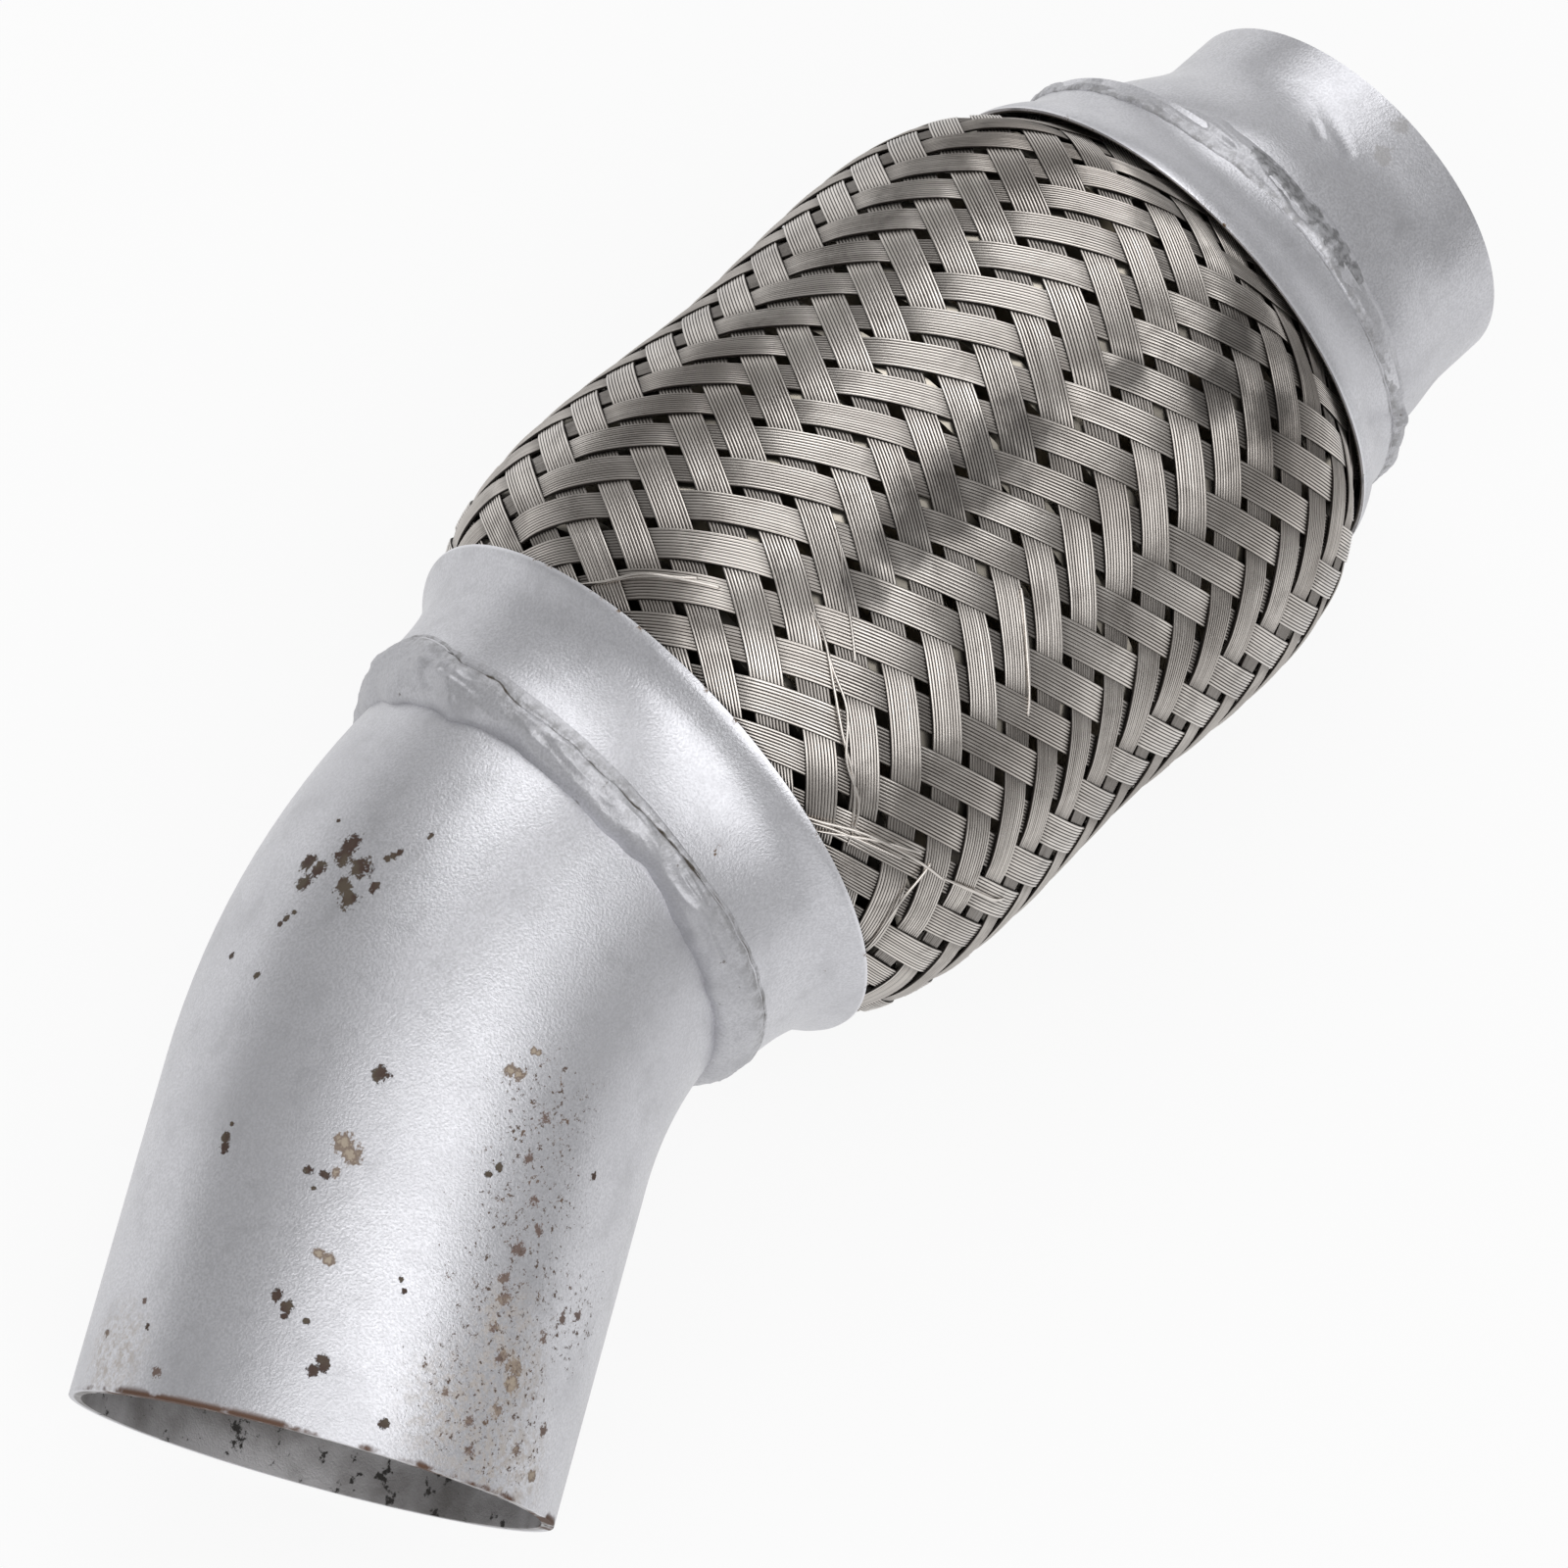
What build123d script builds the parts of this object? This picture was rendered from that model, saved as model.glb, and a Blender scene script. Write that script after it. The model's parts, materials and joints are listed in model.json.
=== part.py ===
from build123d import *
from math import asin, ceil, cos, degrees, pi, radians, sin, sqrt
from types import SimpleNamespace
import os

# An exhaust flex pipe. A bent steel tube and a short reducing stub are welded
# to the two ends of a flexible middle, whose thin steel bellows is guarded by a
# woven wire braid outside and a wound steel liner inside.
#
# The flexible middle runs along X with its middle at x = 0 before the pipe is
# laid down. Inlet is the elbow's side, towards -X. Lengths are in millimetres
# and angles in degrees.

# Tubes
tube_od = 63.5
tube_wall = 1.6
bend_angle = 32.8
bend_radius = 76.0
elbow_straight = 44.6
stub_od = 55.6
stub_wall = 1.6
stub_socket_od = 62.0
stub_straight = 7.0
stub_reducer = 14.7
stub_offset = 2.4
stub_offset_angle = 168.0
reducer_sections = 5
tube_insert = 8.0
bend_margin = 2.0
socket_margin = 2.8

# Flexible middle, from cap lip to cap lip. Its belly stands out from the wider
# lip, and its waist lies a little in from the belly. Places are shares of the
# half length, and rises are shares of the way from under a lip to the belly.
flex_length = 98.5
belly_rise = 4.4
waist_drop = 1.1
belly_place = 0.487
shoulder_place = 0.731
shoulder_rise = 0.87
collar_place = 0.893
collar_rise = 0.52

# End caps, pressed from sheet
cap_sheet = 1.0
inlet_flare = 5.0
outlet_flare = 3.8
lip_gap = 0.6
inlet_cap_length = 14.7
outlet_cap_length = 12.2
lip_depth = 3.4
shoulder_depth = 4.2
shoulder_drop = 0.8
shoulder_radius = 2.2

# Sleeves inside the flexible middle's ends
sleeve_sheet = 0.6
sleeve_reach = 2.0
cap_overlap = 3.5

# Bellows
bellows_sheet = 0.3
bellows_folds = 9
fold_depth = 7.0
fold_crest = 1.7
crest_reach = 3.2

# Liner, wound from strip
liner_sheet = 0.5
liner_rib = 0.9
liner_ribs = 12
rib_foot = 0.35
rib_top = 0.2

# Braid
strands = 24
strand_width = 4.2
strand_sheet = 0.18
strand_rise = 0.32
strand_lift = 0.16
turn_per_length = 2.2556
right_hand_phase = 18.5
left_hand_phase = 26.0
step_half_width = 1.3
braid_end_margin = 1.5
grip_depth = 8.0
grip_rise = 1.1

# Weld beads
elbow_weld_leg = 5.4
outlet_weld_leg = 2.7
weld_crown = 0.8
weld_crown_place = 0.9
weld_overlap = 1.6

# Clearances
tube_clearance = 0.05
layer_clearance = 0.05
strand_clearance = 0.2
moving_clearance = 0.3
crest_clearance = 0.05

# Radii that stack up at each end, from the tube outwards. The inlet end is
# tight, and the outlet end keeps room for the pipe to flex.
tube_radius = tube_od / 2
stub_radius = stub_od / 2
socket_radius = stub_socket_od / 2
braid_depth = 2 * strand_rise + strand_sheet
half_flex = flex_length / 2


def stack(seat_radius, gap):
    """Radii at one end, from the tube's seat out to the cap's bore."""
    radii = SimpleNamespace()
    radii.sleeve_inner = seat_radius + tube_clearance
    radii.sleeve_outer = radii.sleeve_inner + sleeve_sheet
    radii.cuff_outer = radii.sleeve_outer + gap + bellows_sheet
    radii.braid_middle = radii.cuff_outer + strand_clearance + braid_depth / 2
    radii.cap_inner = radii.braid_middle + braid_depth / 2 + strand_lift + moving_clearance
    return radii


inlet_stack = stack(tube_radius, layer_clearance)
outlet_stack = stack(socket_radius, moving_clearance)
inlet_lip_radius = inlet_stack.cap_inner + cap_sheet + inlet_flare
outlet_lip_radius = outlet_stack.cap_inner + cap_sheet + outlet_flare
under_lip = cap_sheet + braid_depth / 2 + strand_lift + lip_gap
belly_radius = max(inlet_lip_radius, outlet_lip_radius) + belly_rise
waist_radius = belly_radius - waist_drop
inlet_end = -half_flex - inlet_cap_length
outlet_end = half_flex + outlet_cap_length

# How the pipe lies: on the braid's belly and the elbow's open end, rolled
# about the flexible middle until both touch the ground.
bend = radians(bend_angle)
arc_start = inlet_end + bend_margin
mouth_x = arc_start - bend_radius * sin(bend) - elbow_straight * cos(bend)
mouth_y = -bend_radius * (1 - cos(bend)) - elbow_straight * sin(bend)
rest_height = belly_radius + braid_depth / 2 + strand_lift
reach = mouth_y**2 + (tube_radius * sin(bend)) ** 2
lift = rest_height**2 - tube_radius**2
roll = asin((-rest_height * mouth_y - sqrt((rest_height * mouth_y) ** 2 - reach * lift)) / reach)

# The ground point under the middle of the lying pipe's outline is the origin.
lie_y = (0, cos(roll), sin(roll))
lie_z = (0, -sin(roll), cos(roll))
mouth_side = tube_radius * sqrt(1 - (sin(bend) * cos(roll)) ** 2)
low_x = mouth_x - tube_radius * sin(bend)
high_x = outlet_end + socket_margin + stub_reducer + stub_straight
low_y = mouth_y * cos(roll) - mouth_side
high_y = rest_height
centre = (-(low_x + high_x) / 2, -(low_y + high_y) / 2, rest_height)
pipe = Plane(origin=centre, x_dir=(1, 0, 0), z_dir=lie_z)
flex_axis = Axis(centre, (1, 0, 0))


def across(x, y=0.0, z=0.0):
    """A plane square to the flexible middle at x, moved sideways by y and z."""
    return Plane(origin=pipe.from_local_coords((x, y, z)), x_dir=lie_y, z_dir=(1, 0, 0))


os.makedirs("parts", exist_ok=True)

# Elbow tube: straight in the sleeve, one bend, then a straight run to its mouth
with BuildPart() as elbow_tube:
    with BuildLine(pipe):
        insert = Line((inlet_end + tube_insert, 0), (arc_start, 0))
        turn = JernArc(insert @ 1, tangent=insert % 1, radius=bend_radius, arc_size=bend_angle)
        run = Line(turn @ 1, turn @ 1 + elbow_straight * (turn % 1))
    with BuildSketch(Plane(origin=insert @ 0, x_dir=lie_y, z_dir=(-1, 0, 0))):
        Circle(tube_radius)
        Circle(tube_radius - tube_wall, mode=Mode.SUBTRACT)
    sweep()
elbow_tube.part.label = "elbow_tube"

# Outlet stub: a socket end in the sleeve, an offset reducer, then a plain end
offset_y = stub_offset * cos(radians(stub_offset_angle))
offset_z = stub_offset * sin(radians(stub_offset_angle))
reducer_start = outlet_end + socket_margin
with BuildPart() as outlet_stub:
    for thickness, mode in ((0, Mode.ADD), (stub_wall, Mode.SUBTRACT)):
        for section in range(reducer_sections + 1):
            along = section / reducer_sections
            moved = sin(pi * along / 2)
            radius = stub_radius + (socket_radius - stub_radius) * (1 + cos(pi * along)) / 2
            place = across(reducer_start + along * stub_reducer, moved * offset_y, moved * offset_z)
            with BuildSketch(place):
                Circle(radius - thickness)
        loft(mode=mode)
    with BuildSketch(across(outlet_end - tube_insert)):
        Circle(socket_radius)
        Circle(socket_radius - stub_wall, mode=Mode.SUBTRACT)
    extrude(amount=tube_insert + socket_margin)
    with BuildSketch(across(reducer_start + stub_reducer, offset_y, offset_z)):
        Circle(stub_radius)
        Circle(stub_radius - stub_wall, mode=Mode.SUBTRACT)
    extrude(amount=stub_straight)
outlet_stub.part.label = "outlet_stub"

# End caps: a plain neck, a shoulder and a lip that opens round the braid.
# Sleeves: plain rings that hold the bellows' cuffs open. The inlet's side is -1.
ends = (
    (-1, "inlet", inlet_end, inlet_stack, inlet_lip_radius, Side.RIGHT),
    (1, "outlet", outlet_end, outlet_stack, outlet_lip_radius, Side.LEFT),
)
for side, place, end, radii, lip_radius, inward in ends:
    lip = side * half_flex
    neck = radii.cap_inner + cap_sheet
    with BuildPart() as cap:
        with BuildSketch(pipe):
            with BuildLine():
                outside = FilletPolyline(
                    (end, neck),
                    (lip + side * (lip_depth + shoulder_depth), neck),
                    (lip + side * lip_depth, lip_radius - shoulder_drop),
                    (lip, lip_radius),
                    radius=shoulder_radius,
                )
                offset(outside, amount=cap_sheet, side=inward)
            make_face()
        revolve(axis=flex_axis)
    cap.part.label = place + "_cap"
    export_step(cap.part, "parts/" + place + "_cap.step")

    with BuildPart() as sleeve:
        with BuildSketch(across(end)):
            Circle(radii.sleeve_outer)
            Circle(radii.sleeve_inner, mode=Mode.SUBTRACT)
        extrude(amount=lip - end - side * sleeve_reach)
    sleeve.part.label = place + "_sleeve"
    export_step(sleeve.part, "parts/" + place + "_sleeve.step")

# Barrel line: the radius half way through the braid, from end to end
braid_start = inlet_end + braid_end_margin
braid_finish = outlet_end - braid_end_margin


def barrel_side(side, under, gripped):
    """Points of the barrel line from the grip under one cap to the belly."""
    rise = belly_radius - under
    return [
        (side * (half_flex + grip_depth), gripped),
        (side * (half_flex + grip_depth / 2), gripped + grip_rise),
        (side * half_flex, under),
        (side * collar_place * half_flex, under + collar_rise * rise),
        (side * shoulder_place * half_flex, under + shoulder_rise * rise),
        (side * belly_place * half_flex, belly_radius),
    ]


inlet_points = barrel_side(-1, inlet_lip_radius - under_lip, inlet_stack.braid_middle)
outlet_points = barrel_side(1, outlet_lip_radius - under_lip, outlet_stack.braid_middle)
with BuildLine() as barrel_line:
    barrel = Spline(*inlet_points, (0, waist_radius), *reversed(outlet_points))
    Line((braid_start, inlet_stack.braid_middle), barrel @ 0)
    Line(barrel @ 1, (braid_finish, outlet_stack.braid_middle))
barrel_wire = barrel_line.wires()[0]


def barrel_radius(x):
    return barrel.find_intersection_points(Axis((x, 0, 0), (0, 1, 0)))[0].Y


# Bellows: thin folds between two plain cuffs, with its crests just under the braid
folds_end = half_flex - sleeve_reach - layer_clearance
fold_pitch = 2 * folds_end / bellows_folds
crest_drop = braid_depth / 2 + strand_lift + crest_clearance
fold_root = waist_radius - crest_drop - fold_depth
fold_line = [(inlet_end, inlet_stack.cuff_outer), (-folds_end, inlet_stack.cuff_outer)]
for fold in range(bellows_folds):
    crest_x = (fold - (bellows_folds - 1) / 2) * fold_pitch
    lowest = min(barrel_radius(crest_x - crest_reach), barrel_radius(crest_x + crest_reach))
    crest = lowest - crest_drop
    if fold > 0:
        fold_line.append((crest_x - fold_pitch / 2 + fold_crest / 2, fold_root))
    fold_line.append((crest_x - fold_crest, crest))
    fold_line.append((crest_x + fold_crest, crest))
    if fold < bellows_folds - 1:
        fold_line.append((crest_x + fold_pitch / 2 - fold_crest / 2, fold_root))
fold_line.append((folds_end, outlet_stack.cuff_outer))
fold_line.append((outlet_end - moving_clearance, outlet_stack.cuff_outer))
with BuildPart() as bellows:
    with BuildSketch(pipe):
        with BuildLine():
            folded = Polyline(*fold_line)
            offset(folded, amount=bellows_sheet, side=Side.RIGHT, kind=Kind.INTERSECTION)
        make_face()
    revolve(axis=flex_axis)
bellows.part.label = "bellows"



def inner_line(points, sheet):
    """The line a sheet's thickness to the right of a line, with mitred corners."""
    corners = [Vector(*point) for point in points]
    ways = [(after - before).normalized() for before, after in zip(corners, corners[1:])]
    squares = [Vector(way.Y, -way.X) for way in ways]
    before_and_after = zip(corners, squares[:1] + squares, squares + squares[-1:])
    return [corner + (a + b) * (sheet / (1 + a.dot(b))) for corner, a, b in before_and_after]


# Liner: a sleeve wound from strip. Each plain end fits its own sleeve, and the
# ribs between them run at the narrower end's radius.
liner_end = half_flex + cap_overlap
liner_start = inlet_stack.sleeve_inner - layer_clearance
liner_finish = outlet_stack.sleeve_inner - moving_clearance
rib_radius = min(inlet_stack.sleeve_inner, outlet_stack.sleeve_inner) - moving_clearance
rib_start = half_flex - sleeve_reach
rib_pitch = 2 * rib_start / liner_ribs
liner_line = [(-liner_end, liner_start), (-rib_start, liner_start)]
for rib in range(liner_ribs):
    rib_x = (rib - (liner_ribs - 1) / 2) * rib_pitch
    liner_line.append((rib_x - rib_foot * rib_pitch, rib_radius - liner_rib))
    liner_line.append((rib_x - rib_top * rib_pitch, rib_radius))
    liner_line.append((rib_x + rib_top * rib_pitch, rib_radius))
    liner_line.append((rib_x + rib_foot * rib_pitch, rib_radius - liner_rib))
liner_line += [(rib_start, liner_finish), (liner_end, liner_finish)]
with BuildPart() as liner:
    with BuildSketch(pipe):
        with BuildLine():
            Polyline(*liner_line, *reversed(inner_line(liner_line, liner_sheet)), close=True)
        make_face()
    revolve(axis=flex_axis)
liner.part.label = "interlock_liner"

# Weld beads: a rounded fillet from each cap's neck down to the tube
welds = (
    ("elbow_weld", inlet_end, -1, inlet_stack.cap_inner + cap_sheet, tube_radius, elbow_weld_leg),
    ("outlet_weld", outlet_end, 1, outlet_stack.cap_inner + cap_sheet, socket_radius, outlet_weld_leg),
)
for label, end, side, neck, seat, leg in welds:
    on_neck = end - side * weld_overlap
    on_tube = end + side * leg
    with BuildPart() as weld:
        with BuildSketch(pipe):
            with BuildLine():
                crown = (end + side * weld_crown_place, neck + weld_crown)
                ThreePointArc((on_neck, neck + layer_clearance), crown, (on_tube, seat + tube_clearance))
                Polyline(
                    (on_tube, seat + tube_clearance),
                    (end + side * layer_clearance, seat + tube_clearance),
                    (end + side * layer_clearance, neck + layer_clearance),
                    (on_neck, neck + layer_clearance),
                )
            make_face()
        revolve(axis=flex_axis)
        if side < 0:
            with BuildLine(pipe):
                skirt = JernArc(insert @ 1, tangent=insert % 1, radius=bend_radius, arc_size=bend_angle)
            with BuildSketch(Plane(origin=skirt @ 0, x_dir=lie_y, z_dir=(-1, 0, 0))):
                Circle(tube_radius + tube_clearance)
            sweep(path=skirt, mode=Mode.SUBTRACT)
    weld.part.label = label
    export_step(weld.part, "parts/" + label + ".step")

# Braid: flat strands in two hands. Along the barrel line a strand turns evenly,
# so its place has two angles: its own, which stays the same along it, and that
# of the strand of the other hand that it meets there. It runs over two strands
# and under two, and steps up or down in the gap between them.
strand_pitch = 360 / strands
row_phase = (right_hand_phase + left_hand_phase) / 2 + strand_pitch / 4
turn = radians(turn_per_length)
half_width_angle = degrees(strand_width / 2 * sqrt(1 / waist_radius**2 + turn**2))
half_barrel = barrel_wire.length / 2


def on_barrel(own, met, hand):
    """A point of the barrel and the outward direction there."""
    along = half_barrel + hand * (met - own) / (2 * turn_per_length)
    along = min(max(along, 0), barrel_wire.length)
    x, radius, _ = barrel_wire.position_at(along, position_mode=PositionMode.LENGTH)
    slope = barrel_wire.tangent_at(along, position_mode=PositionMode.LENGTH)
    angle = radians((own + met) / 2)
    point = pipe.from_local_coords((x, radius * cos(angle), radius * sin(angle)))
    beyond = radius + slope.X
    outer = pipe.from_local_coords((x - slope.Y, beyond * cos(angle), beyond * sin(angle)))
    return point, outer - point


strand_group = []
hands = ((1, right_hand_phase, left_hand_phase), (-1, left_hand_phase, right_hand_phase))
for hand, phase, other_phase in hands:
    for first in (0, 1):
        own = phase + first * strand_pitch
        reach_angle = 2 * turn_per_length * half_barrel
        first_gap = other_phase + strand_pitch / 2 + (1 - first) * strand_pitch
        gap_count = ceil(reach_angle / strand_pitch / 2) + 1
        steps = [first_gap + 2 * strand_pitch * k for k in range(-gap_count, gap_count + 1)]
        places = sorted(step + move for step in steps for move in (-step_half_width, step_half_width))
        places = [place for place in places if abs(place - own) < reach_angle - step_half_width]
        with BuildPart() as strand:
            for met in [own - reach_angle] + places + [own + reach_angle]:
                over = hand * cos(radians(((own + met) / 2 - row_phase) * strands / 2)) > 0
                middle, outward = on_barrel(own, met, hand)
                low, _ = on_barrel(own - half_width_angle, met, hand)
                high, _ = on_barrel(own + half_width_angle, met, hand)
                level = (strand_lift + (strand_rise if over else -strand_rise)) * outward
                width_dir = (high - low).normalized()
                square = Plane((low + high) / 2 + level, x_dir=width_dir, z_dir=width_dir.cross(outward))
                with BuildSketch(square):
                    Rectangle((high - low).length, strand_sheet)
            loft(ruled=True)
        strand_group += [strand.part.rotate(flex_axis, 2 * strand_pitch * k) for k in range(strands // 2)]
braid = Compound(label="wire_braid", children=strand_group)
export_step(braid, "parts/wire_braid.step")

for piece in (elbow_tube, outlet_stub, bellows, liner):
    export_step(piece.part, "parts/" + piece.part.label + ".step")
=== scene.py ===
# %% [markdown]
# # An exhaust flex pipe
#
# The imported CAD model is the frame. This lesson keeps its tubes and sleeves, and
# builds what makes the pipe look real: a braid of single wires woven
# over and under, lumpy weld beads, caps with a thin flared lip, chipped paint
# and rust.

import json
import math

import bpy
import numpy as np
from mathutils import Matrix, Vector, noise


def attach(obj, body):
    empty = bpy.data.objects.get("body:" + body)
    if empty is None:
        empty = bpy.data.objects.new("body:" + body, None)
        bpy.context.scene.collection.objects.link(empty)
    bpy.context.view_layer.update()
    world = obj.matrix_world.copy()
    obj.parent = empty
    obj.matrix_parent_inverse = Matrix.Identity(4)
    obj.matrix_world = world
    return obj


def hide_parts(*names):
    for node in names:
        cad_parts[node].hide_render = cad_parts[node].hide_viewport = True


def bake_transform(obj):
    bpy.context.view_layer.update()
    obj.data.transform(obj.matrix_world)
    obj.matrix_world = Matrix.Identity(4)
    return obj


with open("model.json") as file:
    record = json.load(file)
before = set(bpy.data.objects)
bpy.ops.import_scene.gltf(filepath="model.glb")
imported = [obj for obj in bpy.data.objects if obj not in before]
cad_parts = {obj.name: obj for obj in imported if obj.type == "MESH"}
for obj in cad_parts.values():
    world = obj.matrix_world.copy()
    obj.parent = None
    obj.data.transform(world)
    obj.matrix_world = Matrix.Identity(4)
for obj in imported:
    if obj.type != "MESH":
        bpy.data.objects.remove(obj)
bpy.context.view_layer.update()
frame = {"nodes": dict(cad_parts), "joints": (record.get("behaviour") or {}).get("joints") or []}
print("nodes", sorted(frame["nodes"]))

# %% [markdown]
# ## Axes along the pipe
#
# The pipe lies rolled on its side, so its own axes are turned against the
# room's. The one joint sits in the middle of the flexible part, and its axis is
# square to the plane of the elbow. Both give the pipe's own axes: `along` runs
# to the stub, `side` lies in the plane of the elbow, `out` is the joint's axis.
# Sizes below are in millimetres.

# %% Pipe axes
MM = 0.001
joint = frame["joints"][0]
middle = Vector(joint["pos_m"])
along = Vector((1, 0, 0))
out = Vector(joint["axis"]).normalized()
side = out.cross(along)
turned = Matrix((along, side, out)).transposed()


def from_pipe(points):
    """Points in the pipe's own axes, in millimetres, as points of the room in metres."""
    return np.asarray(points) @ np.array(turned).T * MM + np.array(middle)


def on_pipe(x, angle, radius):
    """A point of the room, at x along the pipe and an angle in degrees round it."""
    turn = math.radians(angle)
    return from_pipe((x, radius * math.cos(turn), radius * math.sin(turn)))


print("middle of the flexible part", [round(v, 4) for v in middle])

# %% [markdown]
# The bent tube has its own measure: how far back from its open mouth a point
# lies, and the angle round it. The straight run comes first, then the bend.

# %% Places on the bent tube
TUBE_RADIUS = 31.75
RUN = 44.6
BEND_RADIUS = 76.0
BEND = math.radians(32.8)
BEND_START = -61.95
run_way = np.array((-math.cos(BEND), -math.sin(BEND), 0.0))
run_start = np.array((BEND_START - BEND_RADIUS * math.sin(BEND), BEND_RADIUS * (math.cos(BEND) - 1), 0.0))
mouth = run_start + RUN * run_way


def on_tube(back, angle):
    """A point of the room on the bent tube, `back` millimetres from its mouth."""
    lean = BEND if back < RUN else max(BEND - (back - RUN) / BEND_RADIUS, 0.0)
    if back < RUN:
        centre = mouth - back * run_way
    else:
        x = BEND_START - BEND_RADIUS * math.sin(lean)
        centre = np.array((x, BEND_RADIUS * (math.cos(lean) - 1), 0.0))
    outer_side = np.array((-math.sin(lean), math.cos(lean), 0.0))
    upper_side = np.array((0, 0, 1.0))
    turn = math.radians(angle)
    return from_pipe(centre + TUBE_RADIUS * (math.cos(turn) * outer_side + math.sin(turn) * upper_side))


print("mouth", on_tube(0, 90).round(4))

# %% [markdown]
# ## A few helpers
#
# A woven wire or a weld bead is a net: rows of points, joined by quads. NumPy
# works the points out, `loop_faces` joins them, `mesh_piece` makes the mesh, and
# `mark` stores a number on each point that the material can read later.

# %% Mesh helpers
def mesh_piece(name, points, faces):
    mesh = bpy.data.meshes.new(name)
    mesh.from_pydata([tuple(p) for p in points], [], faces)
    mesh.validate()
    piece = bpy.data.objects.new(name, mesh)
    bpy.context.scene.collection.objects.link(piece)
    for face in mesh.polygons:
        face.use_smooth = True
    return piece


def loop_faces(rows, columns, closed_rows=False):
    """Quads over a net of points stored row by row, closed from the last column to the first."""
    row_count = rows if closed_rows else rows - 1
    r, c = np.meshgrid(np.arange(row_count), np.arange(columns), indexing="ij")
    r2, c2 = (r + 1) % rows, (c + 1) % columns
    quads = np.stack([r * columns + c, r * columns + c2, r2 * columns + c2, r2 * columns + c], -1)
    return quads.reshape(-1, 4)


def mark(piece, name, values):
    layer = piece.data.attributes.new(name, "FLOAT", "POINT")
    layer.data.foreach_set("value", np.asarray(values, np.float32).ravel())


# %% [markdown]
# Masks decide where paint, rust and soot lie. `Val` wraps a shader socket, so
# that a mask can be written as a sum or product of others, and each operator
# adds its Math node. `Look` starts a material and lays one coat over another.

# %% Shader helper
class Val:
    """A shader value that can be added, multiplied and limited like a number."""

    def __init__(self, tree, socket):
        self.tree, self.socket = tree, socket

    def _math(self, operation, a, b=None):
        node = self.tree.nodes.new("ShaderNodeMath")
        node.operation = operation
        for index, value in enumerate((a, b)):
            if isinstance(value, Val):
                self.tree.links.new(value.socket, node.inputs[index])
            elif value is not None:
                node.inputs[index].default_value = value
        return Val(self.tree, node.outputs[0])

    def __add__(self, other):
        return self._math("ADD", self, other)

    def __sub__(self, other):
        return self._math("SUBTRACT", self, other)

    def __mul__(self, other):
        return self._math("MULTIPLY", self, other)

    def __radd__(self, other):
        return self._math("ADD", other, self)

    def __rsub__(self, other):
        return self._math("SUBTRACT", other, self)

    def __rmul__(self, other):
        return self._math("MULTIPLY", other, self)

    def power(self, other):
        return self._math("POWER", self, other)

    def least(self, other):
        return self._math("MINIMUM", self, other)

    def most(self, other):
        return self._math("MAXIMUM", self, other)

    def ramp(self, low, high, from_value=0.0, to_value=1.0):
        """A smooth step: from_value below low, to_value above high."""
        node = self.tree.nodes.new("ShaderNodeMapRange")
        node.interpolation_type = "SMOOTHSTEP"
        self.tree.links.new(self.socket, node.inputs["Value"])
        sizes = (("From Min", low), ("From Max", high), ("To Min", from_value), ("To Max", to_value))
        for key, value in sizes:
            node.inputs[key].default_value = value
        return Val(self.tree, node.outputs["Result"])


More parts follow.
